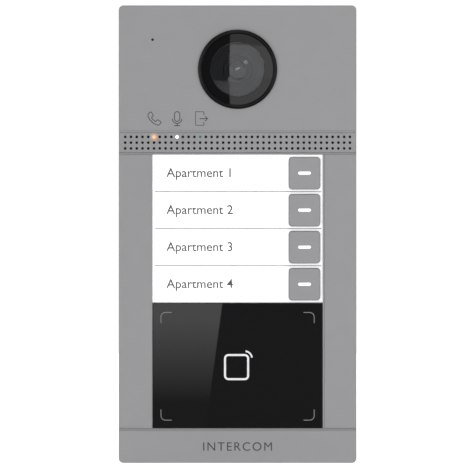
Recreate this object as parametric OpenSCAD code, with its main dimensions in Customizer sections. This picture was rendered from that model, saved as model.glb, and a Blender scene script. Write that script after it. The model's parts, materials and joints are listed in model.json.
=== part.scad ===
// Door station for a wall. A die-cast front housing carries a camera dome, a speaker grille, four call
// buttons beside lit name plates and a card reader. A rear shell closes it, and it hangs on a wall plate.
// Every part is drawn lying on its back, with the wall at z = 0 and its face up. stand_up() then turns
// it upright, so that the wall is the plane y = 0, up is +Z and the face looks along -Y.

/* [Housing] */
// Width of the housing
body_w = 120; // [118:1:124]
// Height of the housing
body_h = 231; // [229:1:236]
// Distance from the wall to the raised ends of the face
face_z = 30; // [29.5:0.5:32]
// Corner radius of the outline
corner_r = 2.4; // [1.6:0.2:4]
// Thickness of the side walls
wall_t = 2.5; // [2:0.1:2.8]
// Width of each sloped step across the face
step_w = 1; // [0.6:0.1:1.4]

/* [Camera] */
// Height of the camera's axis above the middle of the housing
camera_y = 83.2; // [82:0.2:85]
// Outer diameter of the ring round the dome
bezel_d = 40; // [39:0.5:42]
// How far the dome stands out of the face
dome_rise = 3; // [2:0.25:5]

/* [Grille] */
// Height of the grille's middle row above the middle of the housing
grille_y = 46.25; // [46:0.05:46.6]
// Diameter of each sound hole
sound_hole_d = 1.4; // [1.15:0.05:1.5]
// Distance between neighbouring sound holes
sound_pitch = 2.91; // [2.88:0.01:2.93]

/* [Name plates and buttons] */
// Width of the opening for the name plates and the reader
module_w = 86; // [85:0.5:87]
// Distance from one name plate to the next
row_pitch = 18.7; // [18.5:0.1:19]
// Width of a call button
button_w = 15.6; // [14.6:0.2:15.8]
// Height of a call button
button_h = 16; // [15:0.2:16.2]
// How far a button stands out of its name plate
button_proud = 0.9; // [0.8:0.1:1.5]

/* [Reader] */
// Height of the card reader's window
reader_h = 63.4; // [60:0.2:64]

/* [Wall plate] */
// Distance between the wall screws, across
wall_hole_dx = 66; // [60:1:70]
// Distance between the wall screws, up
wall_hole_dy = 160; // [150:1:162]
// Diameter of each wall screw hole
wall_hole_d = 4.4; // [3.6:0.2:5]

/* [Hidden] */
$fn = 64;

// Levels above the wall, from the face inwards.
mid_z = face_z - 0.6; // face of the two rails beside the modules
edge_c = 0.5; // chamfer round the face
strip_top = face_z - 1; // top of the grille strip
strip_t = 0.8;
cloth_t = 0.3;
channel_z = strip_top - strip_t; // floor of the grille's channel
cloth_z = channel_z - cloth_t; // floor of the pocket for the cloth
inner_z = face_z - 3; // inner side of the front plate
seal_t = 0.5;
flange_z = inner_z - seal_t; // where the modules' flanges meet their seal
window_top = mid_z - 0.3; // face of the name plates and the reader
window_t = 1.2;
card_t = 0.3;
tray_z = flange_z - 3; // back of the nameplate tray
tray_top = flange_z + 1;
key_board_z = tray_z - 4.3;
key_board_t = 1.2;
ledge_z = 14.5; // ledge in the housing that the rear seal meets
boss_z = 12; // where the housing's screw bosses end
board_z = 15.4; // back of the main board
board_t = 1.6;
shell_z = 2.4; // back of the rear shell
shell_t = 1.6;
shell_top = ledge_z - 1.5;
plate_t = 1.5; // wall plate

// Places on the face.
grille_h = 10.1; // height of the grille's channel
grille_w = body_w - 0.6;
cloth_size = [115, 9];
grille_top = grille_y + grille_h / 2;
grille_low = grille_y - grille_h / 2;
row_count = 4;
module_top = grille_low - step_w;
name_h = row_count * row_pitch;
reader_top = module_top - name_h;
module_low = reader_top - reader_h;
flange_w = module_w + 4; // the modules' flanges reach 2 mm behind the housing all round
button_x = 33.8;
sound_columns = 40;
sound_rows = 3;
call_column = 5; // the sound holes that the three indicators shine through
talk_column = 9;
unlock_column = 13;
mic_at = [-42.9, 98.2];
mic_hole_d = 1.3;

// Fasteners and fits.
screw_r = 1.48; // M3 thread, drawn at its outside
thread_r = 1.5;
screw_len = 8;
screw_head_r = 2.75;
screw_head_t = 2;
gap = 0.2; // between a part and the opening that it drops into
case_screws_at = [for (y = [-106, 0, 106]) for (x = [-51, 51]) [x, y]];
board_screws_at = [for (y = [-88, 54]) for (x = [-43.5, 43.5]) [x, y]];
camera_screws_at = [for (x = [-12.5, 12.5]) [x, camera_y]];
set_screw_xs = [-30, 30];
set_screw_z = 6.5;
tamper_at = [20, 35];
tamper_r = 1.5;
hook_xs = [-30, 30];
camera_board_z = 11.4;
barrel_z = camera_board_z + 3.8; // back of the lens barrel, clear of the step in its holder
ribbon_end_y = 54; // where the camera's ribbon meets its connector on the main board

// The connector bay in the rear shell, and the plugs that end in it.
bay = [68, 60]; // inside width and height
bay_y = -20; // height of its middle
bay_roof_z = 13.4;
bay_top = bay_y + bay[1] / 2;
bay_low = bay_y - bay[1] / 2;
socket_x = -22;
socket_w = 16;
socket_len = 21;
socket_h = board_z - shell_z - shell_t;
terminal_w = 31;
terminal_x = 12.5;
terminal_ways = 8;
terminal_pitch = 3.81;

// The middle of name plate k, counted from the top.
function row_y(k) = module_top - (k - 0.5) * row_pitch;

function sound_x(column) = (column - (sound_columns - 1) / 2) * sound_pitch;

module stand_up() rotate([90, 0, 0]) children();

module rounded_rect(w, h, r) {
    square([w - 2 * r, h], center = true);
    square([w, h - 2 * r], center = true);
    for (x = [-1, 1]) for (y = [-1, 1]) translate([x * (w / 2 - r), y * (h / 2 - r)]) circle(r = r);
}

// A plate from level z0 to level z1, centred on a point of the face.
module slab(w, h, z0, z1, at = [0, 0], r = 0) {
    translate([at[0], at[1], z0])
        linear_extrude(z1 - z0)
            if (r > 0) rounded_rect(w, h, r);
            else square([w, h], center = true);
}

// A plate given by its lower and upper edges rather than by its middle.
module slab_between(w, y0, y1, z0, z1, x = 0, r = 0) {
    slab(w, y1 - y0, z0, z1, [x, (y0 + y1) / 2], r);
}

module rod(r, z0, z1, at = [0, 0]) {
    translate([at[0], at[1], z0]) cylinder(r = r, h = z1 - z0);
}

module ring(r_out, r_in, z0, z1, at = [0, 0]) {
    difference() {
        rod(r_out, z0, z1, at);
        rod(r_in, z0 - 1, z1 + 1, at);
    }
}

// A thin lead along points, drawn eight-sided, whose straight pieces run into each other at the bends.
module lead(points, r) {
    for (i = [0:len(points) - 2]) {
        step = points[i + 1] - points[i];
        lap = i < len(points) - 2 ? r * 0.7 : 0;
        translate(points[i])
            rotate([0, acos(step[2] / norm(step)), atan2(step[1], step[0])])
                cylinder(r = r, h = norm(step) + lap, $fn = 8);
    }
}

// ---- Housing and grille ----

// Side view of the face: raised ends, a sunk channel for the grille and lower rails between.
module face_profile() {
    end = body_h / 2;
    polygon([
        [-end, 0], [-end, face_z - edge_c], [-end + edge_c, face_z],
        [module_low - step_w, face_z], [module_low, mid_z],
        [module_top, mid_z], [grille_low, strip_top], [grille_low, channel_z],
        [grille_top, channel_z], [grille_top, strip_top], [grille_top + step_w, face_z],
        [end - edge_c, face_z], [end, face_z - edge_c], [end, 0],
    ]);
}

// End view of the face, with the chamfers of its two long edges.
module width_profile() {
    side = body_w / 2;
    polygon([
        [-side, 0], [-side, face_z - edge_c], [-side + edge_c, face_z],
        [side - edge_c, face_z], [side, face_z - edge_c], [side, 0],
    ]);
}

module housing_block() {
    intersection() {
        slab(body_w, body_h, 0, face_z, r = corner_r);
        rotate([90, 0, 90]) linear_extrude(body_w + 2, center = true) face_profile();
        rotate([90, 0, 0]) linear_extrude(body_h + 2, center = true) width_profile();
    }
}

module set_screw_hole(x) {
    translate([x, -body_h / 2 - 1, set_screw_z]) rotate([-90, 0, 0]) {
        cylinder(r = 1.7, h = wall_t + 2);
        cylinder(r = 2.9, h = 2.5);
    }
}

module front_housing() color("#9b9b9d") stand_up() difference() {
    union() {
        difference() {
            housing_block();
            slab(body_w - 2 * wall_t, body_h - 2 * wall_t, -1, ledge_z, r = 1.5);
            slab(body_w - 2 * wall_t - 4, body_h - 2 * wall_t - 4, ledge_z - 1, inner_z, r = 1.5);
        }
        for (at = case_screws_at) rod(3.5, boss_z, inner_z + 0.5, at);
    }
    for (at = case_screws_at) rod(thread_r, boss_z - 1, boss_z + screw_len + 0.5, at);
    rod(bezel_d / 2 - 1.4, inner_z - 1, face_z + 1, [0, camera_y]);
    rod(mic_hole_d / 2, inner_z - 1, face_z + 1, mic_at);
    slab_between(module_w, module_low, module_top, inner_z - 1, face_z + 1);
    slab(cloth_size[0] + 0.2, cloth_size[1] + 0.2, cloth_z, face_z, [0, grille_y]);
    slab(36, 4.8, inner_z - 1, face_z, [25, grille_y + 1]);
    for (column = [call_column, talk_column, unlock_column])
        rod(1.45, inner_z - 1, face_z, [sound_x(column), grille_y + sound_pitch]);
    for (x = set_screw_xs) set_screw_hole(x);
}

module grille_strip() color("#98989a") stand_up() difference() {
    slab(grille_w, grille_h - 0.3, channel_z, strip_top, [0, grille_y]);
    for (column = [0:sound_columns - 1])
        for (row = [-1:sound_rows - 2])
            rod(sound_hole_d / 2, channel_z - 1, face_z, [sound_x(column), grille_y + row * sound_pitch]);
}

module grille_cloth() color("#0c0c0c") stand_up() difference() {
    slab(cloth_size[0], cloth_size[1], cloth_z, channel_z, [0, grille_y]);
    for (column = [call_column, talk_column, unlock_column])
        rod(1.45, cloth_z - 1, face_z, [sound_x(column), grille_y + sound_pitch]);
}

module light_pipe(column, tint) color(tint) stand_up() {
    at = [sound_x(column), grille_y + sound_pitch];
    rod(1.3, board_z + board_t + 1, channel_z - 0.05, at);
    rod(sound_hole_d / 2 - 0.06, channel_z - 0.05, strip_top - 0.05, at);
}

module module_seal() color("#1d1d1d") stand_up() difference() {
    slab_between(flange_w, module_low - 2, module_top + 2, flange_z, inner_z);
    slab_between(module_w + 0.4, module_low - 0.2, module_top + 0.2, flange_z - 1, inner_z + 1);
}

// ---- Camera ----

bezel_r = bezel_d / 2;
neck_r = bezel_r - 1.6; // the bezel's neck drops through the housing
rim_z = face_z - 0.4; // seat of the dome's gasket
hood_r = neck_r - 1.3;
dome_r = neck_r - 0.45;
dome_edge_z = rim_z + 1;
dome_cap_h = face_z + dome_rise - dome_edge_z;
dome_sphere_r = (pow(dome_r, 2) + pow(dome_cap_h, 2)) / (2 * dome_cap_h);
dome_t = 1.5;

module turned() {
    translate([0, camera_y, 0]) rotate_extrude($fn = 96) children();
}

module camera_bezel() color("#101011") stand_up() turned() polygon([
    [neck_r - 1.2, face_z - 7], [neck_r, face_z - 7], [neck_r, face_z], [bezel_r, face_z],
    [bezel_r, face_z + 1], [bezel_r - 0.4, face_z + 1.4], [neck_r + 0.1, face_z + 1.4],
    [neck_r - 0.3, face_z + 1], [neck_r - 0.3, rim_z], [neck_r - 1.2, rim_z],
]);

module dome_gasket() color("#202020") stand_up()
    ring(dome_r, neck_r - 1.2, rim_z, rim_z + 0.4, [0, camera_y]);

module dome_cover() color("#30353a", 0.4) stand_up() translate([0, camera_y, 0]) {
    centre_z = dome_edge_z + dome_cap_h - dome_sphere_r;
    difference() {
        intersection() {
            translate([0, 0, centre_z]) sphere(r = dome_sphere_r, $fn = 128);
            rod(dome_r, rim_z + 0.4, face_z + dome_rise + 1);
        }
        intersection() {
            translate([0, 0, centre_z]) sphere(r = dome_sphere_r - dome_t, $fn = 128);
            rod(dome_r - 1.2, rim_z, face_z + dome_rise);
        }
    }
}

module lens_hood() color("#141415") stand_up() turned() polygon([
    [7.6, face_z - 7.5], [hood_r, face_z - 7.5], [hood_r, rim_z - 0.1], [hood_r - 0.3, rim_z - 0.1],
    [13.7, face_z - 3], [13.7, face_z - 5], [10.3, face_z - 5], [10.3, face_z - 5.4],
    [9.8, face_z - 5.4], [9.8, face_z - 5], [7.6, face_z - 5],
]);

module lens_barrel() color("#1b1c1d") stand_up() turned() polygon([
    [3.6, barrel_z], [6, barrel_z], [6, face_z - 7], [7.4, face_z - 7], [7.4, face_z - 3.4], [7, face_z - 3],
    [5.6, face_z - 3], [4.6, face_z - 3.8], [4.6, face_z - 5.2], [3.6, face_z - 5.2],
]);

// The front element, a cap of glass in the mouth of the barrel.
module lens_glass() color("#3a4a4a", 0.6) stand_up() translate([0, camera_y, 0]) {
    edge_r = 4.55;
    cap_h = 1.5;
    glass_r = (pow(edge_r, 2) + pow(cap_h, 2)) / (2 * cap_h);
    intersection() {
        translate([0, 0, face_z - 4.4 + cap_h - glass_r]) sphere(r = glass_r, $fn = 64);
        rod(edge_r, face_z - 5.2, face_z);
    }
}

module lens_holder() color("#222224") stand_up() difference() {
    slab(16, 16, camera_board_z + 1.2, camera_board_z + 8, [0, camera_y], 1);
    rod(6.05, camera_board_z + 3.5, face_z, [0, camera_y]);
    slab(10, 10, camera_board_z, camera_board_z + 3.6, [0, camera_y]);
}

module camera_board() color("#1f5c3a") stand_up() {
    difference() {
        slab(32, 32, camera_board_z, camera_board_z + 1.2, [0, camera_y], 1);
        for (at = camera_screws_at) rod(1.7, 0, face_z, at);
    }
    slab(8, 7, camera_board_z + 1.2, camera_board_z + 2.2, [0, camera_y]);
}

// A flat ribbon from the camera's board round the top edge of the main board, seen here from its edge.
module ribbon_edge(route, thickness) {
    last = len(route) - 1;
    run = [for (i = [0:last]) route[min(i + 1, last)] - route[max(i - 1, 0)]];
    side = [for (step = run) [-step[1], step[0]] * thickness / 2 / norm(step)];
    polygon(concat([for (i = [0:last]) route[i] + side[i]], [for (i = [last:-1:0]) route[i] - side[i]]));
}

module camera_ribbon() color("#d8c9a0") stand_up() {
    route = [[70, 12.8], [64, 12.8], [61.6, 15], [61, 17.2], [ribbon_end_y, 17.2]];
    rotate([90, 0, 90]) linear_extrude(12, center = true) ribbon_edge(route, 0.3);
}

// ---- Sound ----

speaker_at = [25, 53];
speaker_size = [40, 20];
speaker_top = inner_z - 1; // the gasket fills the rest

module speaker_frame() color("#2a2a2c") stand_up() difference() {
    slab(speaker_size[0], speaker_size[1], speaker_top - 5, speaker_top, speaker_at, 3);
    slab(speaker_size[0] - 4, speaker_size[1] - 4, speaker_top - 3.5, speaker_top + 1, speaker_at, 2.5);
    rod(6.2, speaker_top - 6, speaker_top, speaker_at);
}

module speaker_cone() color("#3a3a3a") stand_up() difference() {
    slab(speaker_size[0] - 4.4, speaker_size[1] - 4.4, speaker_top - 3.5, speaker_top - 2.5, speaker_at, 2.2);
    translate([speaker_at[0], speaker_at[1], speaker_top - 3])
        cylinder(r1 = 3, r2 = 6, h = 2);
}

module speaker_magnet() color("#8f9296") stand_up() {
    rod(6, speaker_top - 5, speaker_top - 3.5, speaker_at);
    rod(7.5, speaker_top - 7.5, speaker_top - 5, speaker_at);
}

module speaker_gasket() color("#262626") stand_up() difference() {
    slab(speaker_size[0], speaker_size[1], speaker_top, inner_z, speaker_at, 3);
    slab(speaker_size[0] - 4, speaker_size[1] - 4, speaker_top - 1, inner_z + 1, speaker_at, 2);
}

module microphone_boot() color("#202020") stand_up() difference() {
    rod(4.5, inner_z - 4.5, inner_z, mic_at);
    rod(mic_hole_d / 2, inner_z - 3, inner_z + 1, mic_at);
    rod(3.05, inner_z - 5, inner_z - 1.8, mic_at);
}

module microphone() color("#b9bcc0") stand_up() rod(3, inner_z - 4.2, inner_z - 1.8, mic_at);

// The microphone's and the speaker's leads, each soldered to the main board.
module audio_leads() color("#a02020") stand_up() {
    solder_z = board_z + board_t;
    lead([
        [mic_at[0], mic_at[1], inner_z - 4.2], [mic_at[0], mic_at[1], 20.5], [-43, 92, 18.8],
        [-40, 76, 18.8], [-37, 57.5, 18.6], [-37, 57.5, solder_z],
    ], 0.6);
    lead([[9, 45, speaker_top - 5], [9, 45, 19.8], [9, 42, 18.2], [9, 42, solder_z]], 0.6);
}

// ---- Name plates and call buttons ----

key_pins_at = [for (x = [-41.2, 20.5]) for (y = [reader_top + 3, module_top - 3]) [x, y]];

module nameplate_tray() color("#f4f4f4") stand_up() difference() {
    union() {
        slab_between(flange_w, reader_top + 0.1, module_top + 2, tray_z, flange_z);
        slab_between(module_w - 2 * gap, reader_top + 0.1, module_top - gap, flange_z - 0.5, tray_top);
        for (at = key_pins_at) {
            rod(2.6, key_board_z + key_board_t, tray_z + 0.5, at);
            rod(1.4, key_board_z - 0.6, tray_z, at);
        }
    }
    for (k = [1:row_count]) {
        slab(button_w + 0.6, button_h + 0.6, tray_z - 1, tray_top + 1, [button_x, row_y(k)], 1.8);
        slab(55, 14, tray_z - 1, tray_top - 1.2, [-10.5, row_y(k)], 1);
    }
}

module name_card(k) color("#fbfbf8") stand_up()
    slab(66, 16.6, tray_top + 0.05, tray_top + 0.05 + card_t, [-8.5, row_y(k)]);

module name_window(k) color("#ffffff", 0.35) stand_up() difference() {
    slab(module_w - 2 * gap, row_pitch - 0.3, window_top - window_t, window_top, [0, row_y(k)], 0.3);
    slab(button_w + 0.6, button_h + 0.6, window_top - 3, window_top + 1, [button_x, row_y(k)], 1.8);
}

cap_top = window_top + button_proud;
cap_roof_t = 2;
pad_z = cap_top - 3.3; // top of the keypad mat's pads, where the buttons' stems rest
mark_size = [6.6, 1.75];

module mark_outline(grow = 0) {
    rounded_rect(mark_size[0] + 2 * grow, mark_size[1] + 2 * grow, mark_size[1] / 2 + grow - 0.01);
}

module call_button(k) color("#9d9d9f") stand_up() translate([button_x, row_y(k), 0]) {
    difference() {
        union() {
            slab(button_w, button_h, tray_z, cap_top, r = 1.5);
            slab(button_w + 2.2, button_h + 2, tray_z - 1, tray_z, r = 1.5);
        }
        slab(button_w - 3, button_h - 3, tray_z - 2, cap_top - cap_roof_t, r = 1);
        translate([0, 0, cap_top - cap_roof_t - 1]) linear_extrude(cap_roof_t + 2) mark_outline();
    }
    difference() {
        rod(2.6, pad_z, cap_top - cap_roof_t + 0.5);
        translate([0, 0, cap_top - cap_roof_t]) linear_extrude(1) mark_outline();
    }
}

module button_mark(k) color("#ffffff") stand_up()
    translate([button_x, row_y(k), cap_top - cap_roof_t])
        linear_extrude(cap_roof_t) mark_outline(-0.03);

// A silicone mat whose four domes push the buttons back, and press the switches.
module keypad_mat() color("#d9d9d4") stand_up() {
    z0 = key_board_z + key_board_t;
    difference() {
        slab_between(20, reader_top + 1, module_top - 1, z0, z0 + 0.8, 33.6, 1);
        for (k = [1:row_count]) rod(5.6, 0, face_z, [button_x, row_y(k)]);
    }
    for (k = [1:row_count])
        translate([button_x, row_y(k), 0]) rotate_extrude() polygon([
            [0, pad_z], [3.6, pad_z], [3.6, pad_z - 0.8], [5.4, pad_z - 1.8], [6, z0 + 0.8],
            [6, z0], [5.4, z0], [5.4, z0 + 0.8], [4.8, pad_z - 1.9], [3, pad_z - 0.8], [0, pad_z - 0.8],
        ]);
}

switch_top = pad_z - 2.1; // top of each switch's body
plunger_top = pad_z - 1.3;

module key_switches() color("#303033") stand_up() for (k = [1:row_count]) {
    at = [button_x, row_y(k)];
    difference() {
        slab(6, 6, key_board_z + key_board_t, switch_top, at, 0.4);
        rod(1.8, switch_top - 2.5, switch_top + 1, at);
    }
}

module switch_plunger(k) color("#c8c8c8") stand_up()
    rod(1.75, switch_top - 2, plunger_top, [button_x, row_y(k)]);

module key_board() color("#1f5c3a") stand_up() {
    difference() {
        slab_between(88, reader_top + 0.5, module_top, key_board_z, key_board_z + key_board_t);
        for (at = key_pins_at) rod(1.5, 0, face_z, at);
    }
    for (k = [1:row_count]) for (x = [-33, -9, 15])
        slab(3, 2, key_board_z + key_board_t, key_board_z + key_board_t + 0.8, [x, row_y(k)]);
}

// ---- Card reader ----

reader_pins_at = [for (x = [-40, 40]) for (y = [module_low + 5, reader_top - 5]) [x, y]];
reader_board_z = flange_z - 3.7;

module reader_window() color("#0b0b0c") stand_up() {
    slab_between(module_w - 2 * gap, module_low + 0.1, reader_top - 0.2, flange_z, window_top);
    slab_between(flange_w, module_low - 2, reader_top - 0.1, flange_z - 1.3, flange_z);
    for (at = reader_pins_at) {
        rod(2.4, reader_board_z + 1.2, flange_z - 1, at);
        rod(1.4, reader_board_z - 0.6, flange_z - 1, at);
    }
}

// The reader's board, with the turns of its antenna lying on it.
module reader_board() color("#1f5c3a") stand_up() {
    board = [86, 60];
    middle = [0, (module_low + reader_top) / 2];
    difference() {
        slab(board[0], board[1], reader_board_z, reader_board_z + 1.2, middle, 1);
        for (at = reader_pins_at) rod(1.5, 0, face_z, at);
    }
    for (turn = [0:4]) {
        w = board[0] - 14 - 3.2 * turn;
        h = board[1] - 6 - 3.2 * turn;
        difference() {
            slab(w, h, reader_board_z + 1.2, reader_board_z + 1.35, middle, 2);
            slab(w - 1.6, h - 1.6, reader_board_z, reader_board_z + 2, middle, 1.2);
        }
    }
}

// ---- Main board and its connectors ----

module main_board() color("#1a4f34") stand_up() difference() {
    slab_between(94, -96, 60, board_z, board_z + board_t, r = 1);
    for (at = board_screws_at) rod(1.7, 0, face_z, at);
}

module board_chips() color("#18181a") stand_up() {
    z0 = board_z + board_t;
    slab(15, 15, z0, z0 + 1.4, [-8, -62]);
    slab(11, 13, z0, z0 + 1.1, [12, -60]);
    slab(9, 9, z0, z0 + 1, [-28, -62]);
    slab(8, 5, z0, z0 + 1.6, [30, -56]);
    slab(6, 6, z0, z0 + 3, [30, -70]);
    slab(14, 3.6, z0, z0 + 1.8, [0, ribbon_end_y - 1.8]);
    for (column = [call_column, talk_column, unlock_column])
        slab(2, 1.4, z0, z0 + 0.9, [sound_x(column), grille_y + sound_pitch]);
    rod(4, z0, z0 + 4, [32, -82]);
    rod(3, z0, z0 + 4, [20, -80]);
}

module network_socket() color("#c9ccd0") stand_up() difference() {
    slab_between(socket_w, bay_top, bay_top + socket_len, board_z - socket_h, board_z, socket_x);
    slab_between(11.8, bay_top - 1, bay_top + 14, board_z - socket_h + 1.3, board_z - 3, socket_x);
    slab_between(6, bay_top - 1, bay_top + 12, board_z - 3.1, board_z - 1.4, socket_x);
}

// A header in the bay's wall and the screw plug pushed onto it, drawn with its mouth towards -y.
module terminal_pair() {
    low = board_z - socket_h;
    slab_between(terminal_w, 0, 8, low, board_z);
    difference() {
        slab_between(terminal_w, -11, 0, low, low + 9);
        for (way = [0:terminal_ways - 1]) {
            x = (way - (terminal_ways - 1) / 2) * terminal_pitch;
            translate([x, -12, low + 5.5]) rotate([-90, 0, 0]) cylinder(r = 1.3, h = 7);
            translate([x, -4, low - 1]) cylinder(r = 1.4, h = 3);
        }
    }
    for (way = [0:terminal_ways - 1])
        rod(1.35, low + 0.8, low + 2, [(way - (terminal_ways - 1) / 2) * terminal_pitch, -4]);
}

module terminal_blocks() color("#2e8b4a") stand_up() {
    translate([terminal_x, bay_top, 0]) terminal_pair();
    translate([0, bay_low, 0]) mirror([0, 1, 0]) terminal_pair();
}

module tamper_switch() color("#2b2b2e") stand_up() difference() {
    slab(8, 8, board_z - 6, board_z, tamper_at, 0.5);
    rod(tamper_r + 0.05, board_z - 7, board_z - 1.4, tamper_at);
}

// Held in by the wall, with its tip level with the wall's plane.
module tamper_plunger() color("#d0d0d0") stand_up() rod(tamper_r, 0, board_z - 2.9, tamper_at);

// ---- Rear shell and wall plate ----

shell_w = body_w - 2 * wall_t - 0.6;
shell_h = body_h - 2 * wall_t - 0.6;
shell_inner_z = shell_z + shell_t;
notch_top = -body_h / 2 + wall_t + 2.3; // the wall plate's flange stands below this
wall_holes_at = [for (x = [-1, 1]) for (y = [-1, 1]) [x * wall_hole_dx / 2, y * wall_hole_dy / 2]];
hook_slot = [12, 6.6];
hook_edge_y = 99.6; // the edge that hangs on the hook
hook_room_z = 6.4; // how deep the hook's pocket in the shell goes

// Solid columns, cups and walls that stand inside the shell.
module shell_inside() {
    for (at = case_screws_at) rod(4.4, shell_z, boss_z, at);
    for (at = board_screws_at) rod(3, shell_z + 1, board_z, at);
    for (at = camera_screws_at) rod(3, shell_z + 1, camera_board_z, at);
    for (at = wall_holes_at) rod(8.4, shell_z, 8, at);
    slab(bay[0] + 3, bay[1] + 3, shell_z, bay_roof_z + 1.5, [0, bay_y]);
    for (x = hook_xs) slab_between(15, 92, 105.5, shell_z, hook_room_z + 1, x);
    slab_between(100, notch_top, notch_top + 2, shell_z, shell_top);
    rod(4, shell_z, 9, tamper_at);
}

module rear_shell() color("#1c1c1e") stand_up() difference() {
    union() {
        difference() {
            slab(shell_w, shell_h, shell_z, shell_top, r = 1.2);
            slab(shell_w - 4, shell_h - 4, shell_inner_z, shell_top + 1, r = 1);
        }
        shell_inside();
    }
    for (at = case_screws_at) {
        rod(1.7, 0, boss_z + 1, at);
        rod(3.3, 0, boss_z - 3, at);
        rod(3.8, boss_z, face_z, at); // room for the housing's boss
    }
    for (at = board_screws_at) rod(thread_r, board_z - screw_len, board_z + 1, at);
    for (at = camera_screws_at) rod(thread_r, camera_board_z - 7, camera_board_z + 1, at);
    for (at = wall_holes_at) rod(7, 0, 6.8, at);
    slab(bay[0], bay[1], 0, bay_roof_z, [0, bay_y]);
    slab_between(socket_w + 0.2, bay_top - 1, bay_top + 2, shell_inner_z, face_z, socket_x);
    slab_between(terminal_w + 0.2, bay_top - 1, bay_top + 2, shell_inner_z, face_z, terminal_x);
    slab_between(terminal_w + 0.2, bay_low - 2, bay_low + 1, shell_inner_z, face_z);
    for (x = hook_xs) {
        slab_between(hook_slot[0], hook_edge_y - hook_slot[1], hook_edge_y, 0, hook_room_z, x);
        slab_between(hook_slot[0], hook_edge_y - 1, 104.4, shell_inner_z, hook_room_z, x);
    }
    slab_between(96, -body_h, notch_top, 0, 11.5);
    rod(tamper_r + 0.4, 0, 10, tamper_at);
}

module rear_seal() color("#151515") stand_up() difference() {
    slab(shell_w, shell_h, shell_top, ledge_z, r = 1.2);
    slab(shell_w - 4, shell_h - 4, shell_top - 1, ledge_z + 1, r = 1);
}

// A pan-head screw whose head rests on level z, with its thread running up from there.
module pan_screw(at, z, up = true) {
    translate([at[0], at[1], z]) mirror([0, 0, up ? 0 : 1]) {
        cylinder(r = screw_r, h = screw_len - 0.2);
        translate([0, 0, -screw_head_t]) difference() {
            cylinder(r = screw_head_r, h = screw_head_t);
            for (turn = [0, 90]) rotate(turn) cube([3, 0.7, 2], center = true);
        }
    }
}

module case_screws() color("#b8babd") stand_up() {
    for (at = case_screws_at) pan_screw(at, boss_z - 3);
    for (at = board_screws_at) pan_screw(at, board_z + board_t, up = false);
    for (at = camera_screws_at) pan_screw(at, camera_board_z + 1.2, up = false);
}

module hook() {
    catch_z = shell_inner_z + 0.2; // underside of the lip that the shell hangs on
    translate([-5, hook_edge_y - plate_t - 0.2, 0]) {
        cube([10, plate_t, catch_z + plate_t]);
        translate([0, 0, catch_z]) cube([10, plate_t + 4, plate_t]);
    }
}

module wall_plate() color("#b4b6b9") stand_up() {
    low = -body_h / 2 + wall_t + 0.1;
    difference() {
        union() {
            slab_between(110, low, 108, 0, plate_t, r = 2);
            slab_between(90, low, low + plate_t, 0, 11);
            for (x = hook_xs) translate([x, 0, 0]) hook();
        }
        slab_between(60, bay_low + 2, bay_top - 2, -1, 3, r = 3);
        for (at = wall_holes_at) rod(wall_hole_d / 2, -1, 3, at);
        for (x = hook_xs) slab_between(10, 90, hook_edge_y - plate_t - 0.2, -1, 3, x);
        rod(2.5, -1, 3, tamper_at);
        for (x = set_screw_xs) translate([x, low - 1, set_screw_z])
            rotate([-90, 0, 0]) cylinder(r = thread_r, h = 4);
    }
}

module set_screws() color("#a8aaad") stand_up() for (x = set_screw_xs)
    translate([x, -body_h / 2 + 0.1, set_screw_z]) rotate([-90, 0, 0]) difference() {
        union() {
            cylinder(r = 2.7, h = 1.35);
            cylinder(r = screw_r, h = 4.5);
        }
        translate([0, 0, -1]) cylinder(r = 1.15, h = 2, $fn = 6);
    }

front_housing();
grille_strip();
grille_cloth();
camera_bezel();
dome_cover();
dome_gasket();
lens_hood();
lens_barrel();
lens_glass();
lens_holder();
camera_board();
camera_ribbon();
speaker_frame();
speaker_cone();
speaker_magnet();
speaker_gasket();
microphone();
microphone_boot();
audio_leads();
nameplate_tray();
keypad_mat();
key_switches();
key_board();
for (k = [1:row_count]) {
    name_card(k);
    name_window(k);
    call_button(k);
    button_mark(k);
    switch_plunger(k);
}
reader_window();
reader_board();
module_seal();
light_pipe(call_column, "#f29a3a");  // light_pipe_call
light_pipe(talk_column, "#ffffff");  // light_pipe_talk
light_pipe(unlock_column, "#4f8a58");  // light_pipe_unlock
main_board();
board_chips();
network_socket();
terminal_blocks();
tamper_switch();
tamper_plunger();
rear_shell();
rear_seal();
case_screws();
wall_plate();
set_screws();
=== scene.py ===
# %% [markdown]
# # A door intercom panel
#
# This is a wall-mounted door station. It has a painted metal face with a camera dome, a band of sound
# holes with three status lights, four name plates with a call button each, and a black card reader.
# The solid parts come from the imported model. This script builds a finer piece for most of the parts
# that show and gives every part its finish. All lengths are in metres, up is +Z, the wall is the plane
# y = 0 and the face looks along -Y.

import json
import math

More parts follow.
